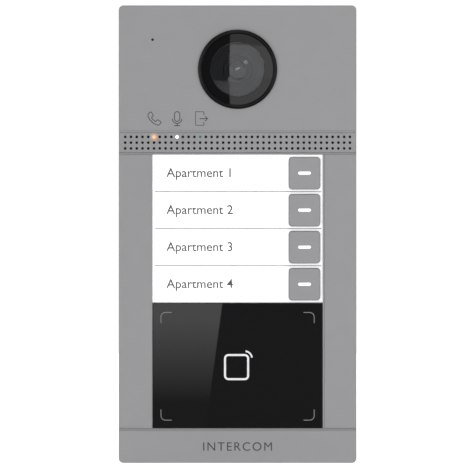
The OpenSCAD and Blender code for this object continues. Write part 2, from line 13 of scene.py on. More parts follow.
import bmesh
import bpy
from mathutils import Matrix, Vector


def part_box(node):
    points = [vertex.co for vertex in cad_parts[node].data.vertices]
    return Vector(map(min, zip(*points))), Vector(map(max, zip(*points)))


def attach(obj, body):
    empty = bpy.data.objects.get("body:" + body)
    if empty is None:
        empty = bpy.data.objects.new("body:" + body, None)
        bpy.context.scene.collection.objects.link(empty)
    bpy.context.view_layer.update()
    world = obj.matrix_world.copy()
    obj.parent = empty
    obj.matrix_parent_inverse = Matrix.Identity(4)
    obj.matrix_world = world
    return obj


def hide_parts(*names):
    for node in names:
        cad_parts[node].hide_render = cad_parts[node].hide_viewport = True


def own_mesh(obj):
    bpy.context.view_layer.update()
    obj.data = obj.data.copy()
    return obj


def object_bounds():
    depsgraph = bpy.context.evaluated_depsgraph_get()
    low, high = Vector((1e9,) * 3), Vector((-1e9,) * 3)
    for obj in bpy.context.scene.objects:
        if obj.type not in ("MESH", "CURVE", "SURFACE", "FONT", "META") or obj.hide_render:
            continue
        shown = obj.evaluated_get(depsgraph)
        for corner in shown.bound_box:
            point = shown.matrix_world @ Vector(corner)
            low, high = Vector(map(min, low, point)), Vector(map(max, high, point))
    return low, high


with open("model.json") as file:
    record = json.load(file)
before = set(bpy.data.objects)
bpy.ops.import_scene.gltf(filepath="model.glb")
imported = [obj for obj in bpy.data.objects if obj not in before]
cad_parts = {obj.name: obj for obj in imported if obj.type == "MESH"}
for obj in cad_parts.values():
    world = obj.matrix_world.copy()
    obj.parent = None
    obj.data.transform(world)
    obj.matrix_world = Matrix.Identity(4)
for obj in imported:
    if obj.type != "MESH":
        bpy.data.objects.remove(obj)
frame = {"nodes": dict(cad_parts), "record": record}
cad_low, cad_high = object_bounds()
scene = bpy.context.scene
mm = 0.001
print("nodes:", len(frame["nodes"]), "size in mm:", [round(s / mm, 1) for s in cad_high - cad_low])

# %% [markdown]
# ## Measures
#
# The places of the pieces are read from the boxes of the solid parts, so that nothing is fitted by
# eye. A few depths lie inside a box, such as the level of the rails beside the modules. They are
# named here once. A depth is how far a surface stands off the wall, so it is -y.

# %% Name the levels and the boxes
housing_low, housing_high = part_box("front_housing")
strip_low, strip_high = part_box("grille_strip")
bezel_low, bezel_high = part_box("camera_bezel")
reader_low, reader_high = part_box("reader_window")

face = -housing_low.y
rail = face - 0.6 * mm
strip_face = -strip_low.y
channel_floor = -strip_high.y
inner_face = face - 3 * mm
ledge = 14.5 * mm
wall = 2.5 * mm
through_face = (0.02, 0.04)
camera_z = (bezel_low.z + bezel_high.z) / 2
band_low = strip_low.z - 0.15 * mm
band_high = strip_high.z + 0.15 * mm
step = 1 * mm
module_half = 43 * mm
module_low = reader_low.z + 2 * mm
module_high = band_low - step
microphone_x, microphone_z = -42.9 * mm, 98.2 * mm
case_screws = [(x * mm, z * mm) for x in (-51, 51) for z in (-106, 0, 106)]
print("face at", round(face / mm, 2), "mm, camera axis at", round(camera_z / mm, 2), "mm")

# %% [markdown]
# ## Camera, floor and light
#
# The panel is seen straight on, from far off with a long lens, so that its sides stay hidden behind
# its face. The floor is pale and plain. The light comes from large soft boxes in front. Their edges
# matter as much as their brightness: a gloss surface shows the box, so the edge of a box is the
# sharp line that crosses the black reader and the dome.

# %% Camera
picture_width = 237.2 * mm
camera_data = bpy.data.cameras.new("camera")
camera_data.lens = 250
camera_data.sensor_width = 36
camera_distance = picture_width * camera_data.lens / camera_data.sensor_width
camera = bpy.data.objects.new("camera", camera_data)
camera.location = (-1.3 * mm, -face - camera_distance, -0.4 * mm)
camera.rotation_euler = (math.radians(90), 0, 0)
scene.collection.objects.link(camera)
scene.camera = camera
scene.view_settings.view_transform = "Standard"
print("camera", round(camera_distance, 2), "m in front of the face")

# %% Helpers for nodes
def new_material(name):
    """A material with its Principled shader, and that shader."""
    material = bpy.data.materials.new(name)
    material.use_nodes = True
    return material, material.node_tree.nodes["Principled BSDF"]


def link(tree, source, target):
    tree.links.new(source, target)


# %% Floor
bpy.ops.object.select_all(action="DESELECT")
bpy.ops.mesh.primitive_plane_add(size=3, location=(0, 0, cad_low.z))
floor = bpy.context.object
floor.name = "floor"
floor_material, floor_shader = new_material("pale_floor")
floor_shader.inputs["Base Color"].default_value = (0.75, 0.75, 0.75, 1)
floor_shader.inputs["Roughness"].default_value = 0.9
floor_shader.inputs["Specular IOR Level"].default_value = 0.1
floor_shader.inputs["Emission Color"].default_value = (1, 1, 1, 1)
floor_shader.inputs["Emission Strength"].default_value = 0.85
floor.data.materials.append(floor_material)
floor.visible_glossy = False


# %% World
# The background reads as white paper, while the room that lights the panel is dimmer.
world = bpy.data.worlds.new("studio")
scene.world = world
world.use_nodes = True
world_nodes = world.node_tree.nodes
room = world_nodes["Background"]
room.inputs["Color"].default_value = (0.97, 0.985, 1, 1)
room.inputs["Strength"].default_value = 0.12
paper = world_nodes.new("ShaderNodeBackground")
paper.inputs["Color"].default_value = (1, 1, 1, 1)
paper.inputs["Strength"].default_value = 1.05
rays = world_nodes.new("ShaderNodeLightPath")
choose = world_nodes.new("ShaderNodeMixShader")
link(world.node_tree, rays.outputs["Is Camera Ray"], choose.inputs["Fac"])
link(world.node_tree, room.outputs["Background"], choose.inputs[1])
link(world.node_tree, paper.outputs["Background"], choose.inputs[2])
link(world.node_tree, choose.outputs["Shader"], world_nodes["World Output"].inputs["Surface"])

# %% Soft boxes
box_distance = face + 1.5


def soft_box(name, x, z, strength, fade=None, lean=0, away=box_distance):
    """A glowing sheet before the panel, which can fade downwards between two z and lean sideways."""
    bpy.ops.mesh.primitive_plane_add(
        size=1,
        location=((x[0] + x[1]) / 2, -away, (z[0] + z[1]) / 2),
        rotation=(math.radians(-90), math.radians(lean), 0),
    )
    sheet = bpy.context.object
    sheet.scale = (x[1] - x[0], z[1] - z[0], 1)
    sheet.name = name
    sheet.visible_camera = False
    material = bpy.data.materials.new(name)
    material.use_nodes = True
    tree = material.node_tree
    tree.nodes.remove(tree.nodes["Principled BSDF"])
    glow = tree.nodes.new("ShaderNodeEmission")
    glow.inputs["Strength"].default_value = strength
    link(tree, glow.outputs["Emission"], tree.nodes["Material Output"].inputs["Surface"])
    if fade:
        place = tree.nodes.new("ShaderNodeNewGeometry")
        split = tree.nodes.new("ShaderNodeSeparateXYZ")
        ramp = tree.nodes.new("ShaderNodeMapRange")
        ramp.inputs["From Min"].default_value = fade[0]
        ramp.inputs["From Max"].default_value = fade[1]
        ramp.inputs["To Min"].default_value = 0.1 * strength
        ramp.inputs["To Max"].default_value = strength
        link(tree, place.outputs["Position"], split.inputs["Vector"])
        link(tree, split.outputs["Z"], ramp.inputs["Value"])
        link(tree, ramp.outputs["Result"], glow.inputs["Strength"])
    sheet.data.materials.append(material)
    return sheet


bpy.ops.object.select_all(action="DESELECT")
soft_box("box_right_top", (-0.19, 1.3), (0.77, 1.3), 0.8)
soft_box("box_right_high", (-0.19, 1.3), (-0.055, 0.77), 1.35)
soft_box("box_right_low", (-0.19, 1.3), (-1.1, -0.21), 1.2)
soft_box("box_right_middle", (0.1, 1.3), (-0.21, -0.055), 1.2)
soft_box("box_left_fading", (-0.222, -0.023), (-0.195, -0.039), 1.42, fade=(-0.165, -0.075), lean=7.4)
soft_box("box_behind", (-1.8, 1.8), (-0.5, 2.4), 0.85, away=-1.7)
# Three small cards only show in the dome. One hides from it the gap that darkens the reader, and two
# make its glints.
soft_box("card_below", (-0.0416, 0.0235), (0.0115, 0.0485), 1.27, away=face + 0.3)
soft_box("glint_right", (0.15, 0.23), (0.27, 0.36), 3.2, lean=-20, away=box_distance - 0.02)
soft_box("glint_middle", (-0.06, 0.06), (0.152, 0.19), 3.8, lean=-28, away=box_distance - 0.02)


def side_box(name, x, away, z, strength):
    """A tall lamp well off to one side, which lights the paint but isn't mirrored towards the camera."""
    lamp = bpy.data.lights.new(name, "AREA")
    lamp.shape = "RECTANGLE"
    lamp.size = 0.9
    lamp.size_y = 1.6
    lamp.energy = strength
    holder = bpy.data.objects.new(name, lamp)
    holder.location = (x, -away, z)
    holder.rotation_euler = (-holder.location).to_track_quat("-Z", "Y").to_euler()
    holder.visible_camera = False
    scene.collection.objects.link(holder)


side_box("lamp_left", -1.5, 1.03, 0.2, 9.4)
side_box("lamp_right", 1.6, 1.03, 0.1, 5.7)
side_box("lamp_top", 0.0, 1.03, 1.9, 6.2)
side_box("lamp_behind", -1.1, -1.6, 1.2, 14)

# %% [markdown]
# ## Shared effects
#
# Real surfaces are never one even colour. Some effects are used by many finishes, so each is a node
# group with named sockets. The fine grain gives a moulded or painted skin its texture, the drawn
# grain runs in streaks as on sheet metal, and the edge wear and shading gives edges a colour of their
# own: bare metal is polished there and lightens, the grey paint darkens as painted shade, and the
# camera ring lightens as a painted highlight. A halo is a soft glow.

# %% Helper for a node group
def new_group(name, inputs, outputs):
    """An empty shader group with named sockets, its tree, and its input and output nodes."""
    group = bpy.data.node_groups.new(name, "ShaderNodeTree")
    for label, kind, value in inputs:
        socket = group.interface.new_socket(name=label, in_out="INPUT", socket_type=kind)
        socket.default_value = value
    for label, kind in outputs:
        group.interface.new_socket(name=label, in_out="OUTPUT", socket_type=kind)
    return group, group.nodes.new("NodeGroupInput"), group.nodes.new("NodeGroupOutput")


COLOR, FLOAT, VECTOR = "NodeSocketColor", "NodeSocketFloat", "NodeSocketVector"


def math_node(group, operation, a, b):
    """One sum in a group. Each side is a socket or a number."""
    node = group.nodes.new("ShaderNodeMath")
    node.operation = operation
    for side, value in enumerate((a, b)):
        if isinstance(value, bpy.types.NodeSocket):
            link(group, value, node.inputs[side])
        else:
            node.inputs[side].default_value = value
    return node.outputs["Value"]


def add_grain(name, stretch):
    """A group whose noise varies colour, roughness and height. A stretch draws it into streaks."""
    group, given, made = new_group(
        name,
        [
            ("Color", COLOR, (0.5, 0.5, 0.5, 1)),
            ("Colour Spread", FLOAT, 0.05),
            ("Roughness", FLOAT, 0.5),
            ("Roughness Spread", FLOAT, 0.05),
            ("Grain Size", FLOAT, 0.0005),
            ("Grain Height", FLOAT, 0.00001),
        ],
        [("Color", COLOR), ("Roughness", FLOAT), ("Normal", VECTOR)],
    )
    place = group.nodes.new("ShaderNodeTexCoord")
    mapping = group.nodes.new("ShaderNodeMapping")
    mapping.inputs["Scale"].default_value = stretch
    link(group, place.outputs["Object"], mapping.inputs["Vector"])
    density = math_node(group, "DIVIDE", 1.0, given.outputs["Grain Size"])
    fine = group.nodes.new("ShaderNodeTexNoise")
    fine.inputs["Detail"].default_value = 3
    link(group, mapping.outputs["Vector"], fine.inputs["Vector"])
    link(group, density, fine.inputs["Scale"])
    broad = group.nodes.new("ShaderNodeTexNoise")
    broad.inputs["Detail"].default_value = 2
    link(group, mapping.outputs["Vector"], broad.inputs["Vector"])
    link(group, math_node(group, "DIVIDE", density, 40.0), broad.inputs["Scale"])
    both = math_node(group, "ADD", fine.outputs["Fac"], broad.outputs["Fac"])
    swing = math_node(group, "SUBTRACT", both, 1.0)
    tinted = math_node(group, "MULTIPLY", swing, given.outputs["Colour Spread"])
    shade = math_node(group, "ADD", tinted, 1.0)
    tint = group.nodes.new("ShaderNodeVectorMath")
    tint.operation = "SCALE"
    link(group, given.outputs["Color"], tint.inputs[0])
    link(group, shade, tint.inputs["Scale"])
    link(group, tint.outputs["Vector"], made.inputs["Color"])
    uneven = math_node(group, "MULTIPLY", swing, given.outputs["Roughness Spread"])
    link(group, math_node(group, "ADD", uneven, given.outputs["Roughness"]), made.inputs["Roughness"])
    bump = group.nodes.new("ShaderNodeBump")
    link(group, given.outputs["Grain Height"], bump.inputs["Distance"])
    link(group, fine.outputs["Fac"], bump.inputs["Height"])
    link(group, bump.outputs["Normal"], made.inputs["Normal"])
    return group


# %% Grain groups
fine_grain = add_grain("fine_grain", (1, 1, 1))
drawn_grain = add_grain("drawn_grain", (1, 1, 0.04))
print("groups:", [group.name for group in bpy.data.node_groups])


# %% Edge wear and shading group
def add_edge_wear_and_shading():
    """Where the rounded normal leaves the true one there is an edge, and it takes the edge colour."""
    group, given, made = new_group(
        "edge_wear_and_shading",
        [
            ("Color", COLOR, (0.5, 0.5, 0.5, 1)),
            ("Edge Color", COLOR, (0.7, 0.7, 0.7, 1)),
            ("Edge Width", FLOAT, 0.0003),
            ("Amount", FLOAT, 0.5),
        ],
        [("Color", COLOR)],
    )
    # On metal, boards and plastics the edge colour is wear. On the grey paint it is painted shade, and on
    # the camera ring it is a painted highlight.
    rounded = group.nodes.new("ShaderNodeBevel")
    rounded.samples = 4
    link(group, given.outputs["Edge Width"], rounded.inputs["Radius"])
    true = group.nodes.new("ShaderNodeNewGeometry")
    facing = group.nodes.new("ShaderNodeVectorMath")
    facing.operation = "DOT_PRODUCT"
    link(group, rounded.outputs["Normal"], facing.inputs[0])
    link(group, true.outputs["Normal"], facing.inputs[1])
    turned_away = math_node(group, "SUBTRACT", 1.0, facing.outputs["Value"])
    edge_mask = math_node(group, "MULTIPLY", turned_away, 6.0)
    edge_strength = math_node(group, "MULTIPLY", edge_mask, given.outputs["Amount"])
    patchy = group.nodes.new("ShaderNodeTexNoise")
    patchy.inputs["Scale"].default_value = 900
    place = group.nodes.new("ShaderNodeTexCoord")
    link(group, place.outputs["Object"], patchy.inputs["Vector"])
    mask = math_node(group, "MULTIPLY", edge_strength, patchy.outputs["Fac"])
    mask.node.use_clamp = True
    mix = group.nodes.new("ShaderNodeMix")
    mix.data_type = "RGBA"
    link(group, mask, mix.inputs["Factor"])
    link(group, given.outputs["Color"], mix.inputs[6])
    link(group, given.outputs["Edge Color"], mix.inputs[7])
    link(group, mix.outputs[2], made.inputs["Color"])
    return group


edge_wear_and_shading = add_edge_wear_and_shading()


# %% Halo group
def add_halo():
    """A soft round glow at a place on the piece, as where a light shines out of a hole."""
    group, given, made = new_group(
        "halo",
        [
            ("Color", COLOR, (1, 0.5, 0.2, 1)),
            ("Middle", VECTOR, (0, 0, 0)),
            ("Radius", FLOAT, 0.002),
            ("Rest", COLOR, (0, 0, 0, 1)),
        ],
        [("Color", COLOR)],
    )
    place = group.nodes.new("ShaderNodeTexCoord")
    apart = group.nodes.new("ShaderNodeVectorMath")
    apart.operation = "DISTANCE"
    link(group, place.outputs["Object"], apart.inputs[0])
    link(group, given.outputs["Middle"], apart.inputs[1])
    near = group.nodes.new("ShaderNodeMapRange")
    near.interpolation_type = "SMOOTHERSTEP"
    near.inputs["To Min"].default_value = 1
    near.inputs["To Max"].default_value = 0
    link(group, apart.outputs["Value"], near.inputs["Value"])
    link(group, given.outputs["Radius"], near.inputs["From Max"])
    mix = group.nodes.new("ShaderNodeMix")
    mix.data_type = "RGBA"
    link(group, near.outputs["Result"], mix.inputs["Factor"])
    link(group, given.outputs["Rest"], mix.inputs[6])
    link(group, given.outputs["Color"], mix.inputs[7])
    link(group, mix.outputs[2], made.inputs["Color"])
    return group


halo = add_halo()


# %% [markdown]
# ## Finishes
#
# One function makes every finish: it sets the numbers that are the same all over on the shader
# itself, and lets a grain group vary colour, roughness and height. A finish can also get an edge
# colour: wear on metal, boards and plastics, painted shade on the grey paint and a painted highlight
# on the camera ring.

# %% The finish function
finishes = {}


def finish(
    name, color, roughness, grain=fine_grain, size=0.4 * mm, height=0.01 * mm, spread=0.06,
    rough_spread=0.06, edge=None, **constants,
):
    """A material, listed by name. Constants are Principled sockets, with underscores for spaces."""
    material, shader = new_material(name)
    tree = material.node_tree
    texture = tree.nodes.new("ShaderNodeGroup")
    texture.node_tree = grain
    texture.inputs["Color"].default_value = (*color, 1)
    texture.inputs["Colour Spread"].default_value = spread
    texture.inputs["Roughness"].default_value = roughness
    texture.inputs["Roughness Spread"].default_value = rough_spread
    texture.inputs["Grain Size"].default_value = size
    texture.inputs["Grain Height"].default_value = height
    colour = texture.outputs["Color"]
    if edge:
        edge_tint = tree.nodes.new("ShaderNodeGroup")
        edge_tint.node_tree = edge_wear_and_shading
        edge_tint.inputs["Edge Color"].default_value = (*edge[0], 1)
        edge_tint.inputs["Edge Width"].default_value = edge[1]
        edge_tint.inputs["Amount"].default_value = edge[2]
        link(tree, colour, edge_tint.inputs["Color"])
        colour = edge_tint.outputs["Color"]
    link(tree, colour, shader.inputs["Base Color"])
    link(tree, texture.outputs["Roughness"], shader.inputs["Roughness"])
    link(tree, texture.outputs["Normal"], shader.inputs["Normal"])
    for socket, value in constants.items():
        shader.inputs[socket.replace("_", " ")].default_value = value
    finishes[name] = material
    return material


# %% Paints and plastics of the face
paint_grey = (0.3, 0.3, 0.306)
# The grey paint's darker edge colour is painted shade, where the rounded edges turn away from the light.
painted_edge_shade = ((0.19, 0.19, 0.195), 0.3 * mm, 0.6)
housing_paint = finish(
    "housing_paint", paint_grey, 0.46, size=0.22 * mm, height=0.012 * mm, edge=painted_edge_shade
)
grille_paint = finish("grille_paint", paint_grey, 0.5, size=0.3 * mm, height=0.03 * mm, spread=0.16)
button_paint = finish("button_paint", paint_grey, 0.44, size=0.2 * mm, height=0.008 * mm, edge=painted_edge_shade)
reader_black = finish(
    "reader_black", (0.006, 0.006, 0.0065), 0.008, size=6 * mm, height=0, rough_spread=0.004
)
# The camera ring's lighter edge colour is a painted highlight along its lip.
bezel_black = finish(
    "bezel_black", (0.005, 0.005, 0.0053), 0.3, size=0.2 * mm, height=0.006 * mm, spread=0.2,
    edge=((0.09, 0.09, 0.092), 0.3 * mm, 1.2), Specular_IOR_Level=0.18,
)
border_black = finish(
    "border_black", (0.002, 0.002, 0.002), 0.05, size=6 * mm, height=0, rough_spread=0.02
)
lens_black = finish(
    "lens_black", (0.006, 0.006, 0.0065), 0.4, size=0.15 * mm, height=0.004 * mm, spread=0.3
)
# The marks glow: painted light in place of the light carried through the button from behind.
mark_white = finish(
    "mark_white", (0.93, 0.93, 0.92), 0.3, size=0.3 * mm, height=0.003 * mm, spread=0.02,
    Emission_Color=(1, 1, 1, 1), Emission_Strength=0.22,
)
# The cards glow: a backlight shines through them, and the glow is painted light in its place.
finish(
    "card_white", (0.95, 0.95, 0.94), 0.6, size=0.12 * mm, height=0.004 * mm, spread=0.02,
    Emission_Color=(1, 1, 0.99, 1), Emission_Strength=0.75,
)
# The tray glows too: painted light that keeps it as white as the cards around the buttons.
finish(
    "tray_white", (0.9, 0.9, 0.89), 0.5, spread=0.03, Emission_Color=(1, 1, 1, 1), Emission_Strength=0.62
)
ink = finish("printed_ink", (0.035, 0.035, 0.036), 0.5, size=0.1 * mm, height=0.002 * mm, spread=0.25)
seam_grey = finish("seam_grey", (0.5, 0.5, 0.505), 0.5, size=0.2 * mm, height=0.004 * mm, spread=0.15)
label_ink = finish("label_ink", (0.015, 0.015, 0.015), 0.5, size=0.1 * mm, height=0.002 * mm, spread=0.25)
word_ink = finish("word_ink", (0.045, 0.045, 0.047), 0.4, size=0.1 * mm, height=0.002 * mm, spread=0.3)
icon_white = finish("icon_white", (0.85, 0.85, 0.85), 0.45, size=0.15 * mm, height=0.002 * mm, spread=0.04)
line_grey = finish("line_grey", (0.2, 0.2, 0.2), 0.45, size=0.15 * mm, height=0.002 * mm, spread=0.1)

# %% Glow round the status lights
tree = grille_paint.node_tree
glow_chain = None
for node, color, radius in (
    ("light_pipe_call", (0.75, 0.26, 0.07, 1), 3.0 * mm),
    ("light_pipe_talk", (0.3, 0.3, 0.31, 1), 1.7 * mm),
    ("light_pipe_unlock", (0.0, 0.05, 0.012, 1), 2.2 * mm),
):
    low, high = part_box(node)
    spot = tree.nodes.new("ShaderNodeGroup")
    spot.node_tree = halo
    spot.inputs["Color"].default_value = color
    spot.inputs["Radius"].default_value = radius
    spot.inputs["Middle"].default_value = ((low.x + high.x) / 2, low.y, (low.z + high.z) / 2)
    if glow_chain:
        link(tree, glow_chain, spot.inputs["Rest"])
    glow_chain = spot.outputs["Color"]
strip_shader = tree.nodes["Principled BSDF"]
strip_shader.inputs["Emission Strength"].default_value = 0.55
link(tree, glow_chain, strip_shader.inputs["Emission Color"])

# %% Glass
clear_cover = finish(
    "clear_cover", (0.99, 1, 1), 0.04, size=8 * mm, height=0, spread=0.01, rough_spread=0.02,
    Transmission_Weight=1.0, IOR=1.49,
)
dome_tint = finish(
    "dome_tint", (0.5, 0.52, 0.54), 0.02, size=9 * mm, height=0, spread=0.03, rough_spread=0.01,
    Transmission_Weight=1.0, IOR=1.53,
)
finish(
    "lens_coated", (0.03, 0.055, 0.05), 0.06, size=3 * mm, height=0, spread=0.5, rough_spread=0.02,
    Coat_Weight=0.6, Coat_Roughness=0.02,
)

# %% Status lights
for name, color, spread, glow_color, strength in (
    ("call_light", (0.9, 0.35, 0.08), 0.1, (1, 0.42, 0.12, 1), 1.0),
    ("talk_light", (0.95, 0.95, 0.93), 0.03, (1, 1, 1, 1), 2.5),
    ("unlock_light", (0.04, 0.1, 0.05), 0.1, (0.2, 0.5, 0.25, 1), 0.06),
):
    finish(name, color, 0.3, spread=spread, Emission_Color=glow_color, Emission_Strength=strength)

# %% Seals, cloth and dark plastics
finish("black_seal", (0.018, 0.018, 0.018), 0.75, size=0.5 * mm, height=0.02 * mm, spread=0.3)
finish("grille_cloth", (0.003, 0.003, 0.003), 0.9, size=0.15 * mm, height=0.05 * mm, spread=0.6)
finish("speaker_black", (0.025, 0.025, 0.027), 0.5, size=0.4 * mm, height=0.02 * mm, spread=0.2)
finish("switch_black", (0.025, 0.025, 0.027), 0.45, spread=0.2)
finish("chip_black", (0.02, 0.02, 0.021), 0.5, size=0.15 * mm, height=0.01 * mm, spread=0.3)
finish(
    "shell_black", (0.02, 0.02, 0.021), 0.55, size=0.5 * mm, height=0.05 * mm, spread=0.25,
    edge=((0.06, 0.06, 0.062), 0.4 * mm, 0.7),
)

# %% Pale and coloured plastics
finish("mat_silicone", (0.68, 0.68, 0.65), 0.6, size=0.6 * mm, height=0.01 * mm, Subsurface_Weight=0.2)
finish("plunger_white", (0.78, 0.78, 0.76), 0.35, spread=0.05)
finish("lead_red", (0.42, 0.025, 0.025), 0.35, size=0.5 * mm, spread=0.1)
finish("ribbon_film", (0.6, 0.42, 0.2), 0.3, drawn_grain, 0.5 * mm, spread=0.15)
finish("board_green", (0.015, 0.11, 0.045), 0.28, size=1.2 * mm, height=0.02 * mm, spread=0.35)
finish(
    "antenna_board", (0.02, 0.12, 0.05), 0.25, size=1.2 * mm, height=0.02 * mm, spread=0.3,
    edge=((0.55, 0.28, 0.12), 0.4 * mm, 1.5),
)
finish(
    "terminal_green", (0.035, 0.3, 0.1), 0.38, size=0.3 * mm, spread=0.1,
    edge=((0.1, 0.45, 0.2), 0.3 * mm, 0.6),
)

# %% Metals
zinc = (0.5, 0.51, 0.52)
zinc_edge = ((0.75, 0.75, 0.76), 0.2 * mm, 0.8)
finish("magnet_steel", zinc, 0.3, drawn_grain, 0.2 * mm, spread=0.1, Metallic=1.0)
finish("capsule_metal", (0.7, 0.71, 0.72), 0.35, size=0.1 * mm, spread=0.1, Metallic=1.0)
finish("screw_steel", zinc, 0.28, size=0.2 * mm, spread=0.12, edge=zinc_edge, Metallic=1.0)
finish(
    "socket_metal", (0.62, 0.63, 0.64), 0.3, drawn_grain, 0.3 * mm, spread=0.12, edge=zinc_edge,
    Metallic=1.0,
)
finish(
    "plate_steel", (0.56, 0.57, 0.58), 0.38, drawn_grain, 0.35 * mm, spread=0.14, edge=zinc_edge,
    Metallic=1.0,
)

# %% Finishes onto the solid parts
slots = {part["node"]: part["material_slot"] for part in frame["record"]["subparts"]}
for node, part in frame["nodes"].items():
    part.data.materials.clear()
    part.data.materials.append(finishes[slots[node]])
print("finishes:", len(finishes))


# %% [markdown]
# ## Helpers for modelling
#
# Each helper does what a person does at the screen: add a primitive at its size and place, pick a
# few edges, round them, or cut one piece with another. The finished piece keeps its place in its
# mesh, with its object at the origin.

# %% Adding primitives
def take(piece):
    """Makes the piece the only selected and the active one."""
    bpy.ops.object.select_all(action="DESELECT")
    piece.select_set(True)
    bpy.context.view_layer.objects.active = piece


def settle(name):
    """Names the new piece and puts its place into its mesh."""
    piece = bpy.context.object
    piece.name = name
    piece.data.name = name
    take(piece)
    bpy.ops.object.transform_apply(location=True, rotation=True, scale=True)
    return piece


def block(name, x, depth, z):
    """A box between two x, two depths off the wall and two z."""
    bpy.ops.object.select_all(action="DESELECT")
    centre = ((x[0] + x[1]) / 2, -(depth[0] + depth[1]) / 2, (z[0] + z[1]) / 2)
    bpy.ops.mesh.primitive_cube_add(
        size=1, location=centre, scale=(x[1] - x[0], depth[1] - depth[0], z[1] - z[0])
    )
    return settle(name)


def rod(name, x, z, radius, depth, sides=64):
    """A round bar that stands off the wall between two depths."""
    bpy.ops.object.select_all(action="DESELECT")
    bpy.ops.mesh.primitive_cylinder_add(
        vertices=sides,
        radius=radius,
        depth=depth[1] - depth[0],
        location=(x, -(depth[0] + depth[1]) / 2, z),
        rotation=(math.radians(90), 0, 0),
    )
    return settle(name)


# %% Picking points or edges, and rounding
def edit_all(piece):
    """Goes into edit mode with the whole mesh selected."""
    take(piece)
    bpy.ops.object.mode_set(mode="EDIT")
    bpy.ops.mesh.select_all(action="SELECT")


def pick(piece, kind, test):
    """Goes into edit mode with only those points or edges selected that pass the test."""
    take(piece)
    bpy.ops.object.mode_set(mode="EDIT")
    bpy.ops.mesh.select_mode(type=kind)
    bpy.ops.mesh.select_all(action="DESELECT")
    mesh = bmesh.from_edit_mesh(piece.data)
    for part in mesh.verts if kind == "VERT" else mesh.edges:
        part.select_set(test(part))
    mesh.select_flush_mode()
    bmesh.update_edit_mesh(piece.data)


def stands_off_wall(edge):
    """True for an edge that runs straight out from the wall."""
    a, b = edge.verts[0].co, edge.verts[1].co
    return abs(a.x - b.x) < 1e-6 and abs(a.z - b.z) < 1e-6


def rims_the_front(edge):
    """True for an edge between a face that looks at the camera and a side wall."""
    if len(edge.link_faces) != 2:
        return False
    fronts = sorted(f.normal.y for f in edge.link_faces)
    return fronts[0] < -0.6 and abs(fronts[1]) < 0.1


def bevel_picked(width, segments):
    bpy.ops.mesh.bevel(offset=width, offset_type="OFFSET", segments=segments, affect="EDGES")
    bpy.ops.object.mode_set(mode="OBJECT")


def rounded_block(name, x, depth, z, radius, segments=6):
    """A box whose four edges off the wall are rounded."""
    piece = block(name, x, depth, z)
    pick(piece, "EDGE", stands_off_wall)
    bevel_picked(radius, segments)
    return piece


# %% Combining and softening
def combine(piece, tool, operation="DIFFERENCE"):
    """Cuts, adds or keeps with a second piece, which is then thrown away."""
    take(piece)
    cutter = piece.modifiers.new("combine", "BOOLEAN")
    cutter.operation = operation
    cutter.solver = "EXACT"
    cutter.object = tool
    bpy.ops.object.modifier_apply(modifier=cutter.name)
    bpy.data.objects.remove(tool)
    return piece


def clean(piece):
    """Joins points that lie on each other and drops slivers that a cut has left."""
    edit_all(piece)
    bpy.ops.mesh.remove_doubles(threshold=2e-6)
    bpy.ops.mesh.dissolve_degenerate(threshold=2e-6)
    bpy.ops.mesh.delete_loose(use_verts=True, use_edges=True, use_faces=False)
    bpy.ops.mesh.select_all(action="SELECT")
    bpy.ops.mesh.fill_holes(sides=6)
    bpy.ops.object.mode_set(mode="OBJECT")
    return piece


def smooth(piece, angle=35):
    """Shades rounds smooth, and keeps the large flat faces flat so that they mirror straight lines."""
    take(piece)
    bpy.ops.object.shade_smooth_by_angle(angle=math.radians(angle))
    even = piece.modifiers.new("even", "WEIGHTED_NORMAL")
    even.keep_sharp = True
    even.weight = 100
    bpy.ops.object.modifier_apply(modifier=even.name)
    return piece


def soften(piece, width, segments=2, angle=40):
    """Breaks every sharp edge with a small round and shades the piece smooth."""
    take(piece)
    round_off = piece.modifiers.new("round_off", "BEVEL")
    round_off.limit_method = "ANGLE"
    round_off.angle_limit = math.radians(angle)
    round_off.width = width
    round_off.segments = segments
    bpy.ops.object.modifier_apply(modifier=round_off.name)
    return smooth(piece)


def put_on(piece, material, body="station", nodes=()):
    """Gives the piece its finish, its body and the solid parts that it stands for."""
    piece.data.materials.clear()
    piece.data.materials.append(material)
    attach(piece, body)
    if nodes:
        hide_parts(*nodes)
    print(piece.name, "faces:", len(piece.data.polygons))
    return piece


# %% Turning a profile
def draw_line(points):
    """Starts a mesh as a single point and extrudes it from point to point, and stays in edit mode."""
    bpy.ops.object.select_all(action="DESELECT")
    bpy.ops.mesh.primitive_plane_add(size=0.001, location=points[0])
    bpy.ops.object.transform_apply(location=True)
    bpy.ops.object.mode_set(mode="EDIT")
    bpy.ops.mesh.select_mode(type="VERT")
    bpy.ops.mesh.select_all(action="SELECT")
    bpy.ops.mesh.merge(type="CENTER")
    for here, there in zip(points, points[1:]):
        bpy.ops.mesh.extrude_vertices_move(TRANSFORM_OT_translate={"value": Vector(there) - Vector(here)})
    bpy.ops.mesh.select_all(action="SELECT")


def turned(name, profile, steps=96, middle=(0, camera_z)):
    """Spins a closed outline of (radius, depth) points round an axis off the wall at (x, z)."""
    x, z = middle
    draw_line([(x + radius, -depth, z) for radius, depth in profile])
    bpy.ops.mesh.spin(
        steps=steps, angle=math.radians(360), center=(x, 0, z), axis=(0, 1, 0), use_auto_merge=True
    )
    bpy.ops.mesh.select_all(action="SELECT")
    bpy.ops.mesh.remove_doubles(threshold=1e-6)
    bpy.ops.mesh.delete_loose(use_verts=True, use_edges=True, use_faces=False)
    bpy.ops.mesh.select_all(action="SELECT")
    bpy.ops.mesh.normals_make_consistent(inside=False)
    bpy.ops.object.mode_set(mode="OBJECT")
    return settle(name)


# %% [markdown]
# ## The housing
#
# The housing is one die casting: a face with side walls, open at the back. It could be drawn as a
# profile and swept, but a box that is cut across shows better how the face is stepped. The box gets
# its corners rounded, it is cut across at each step, and the strips between the cuts are pushed in.

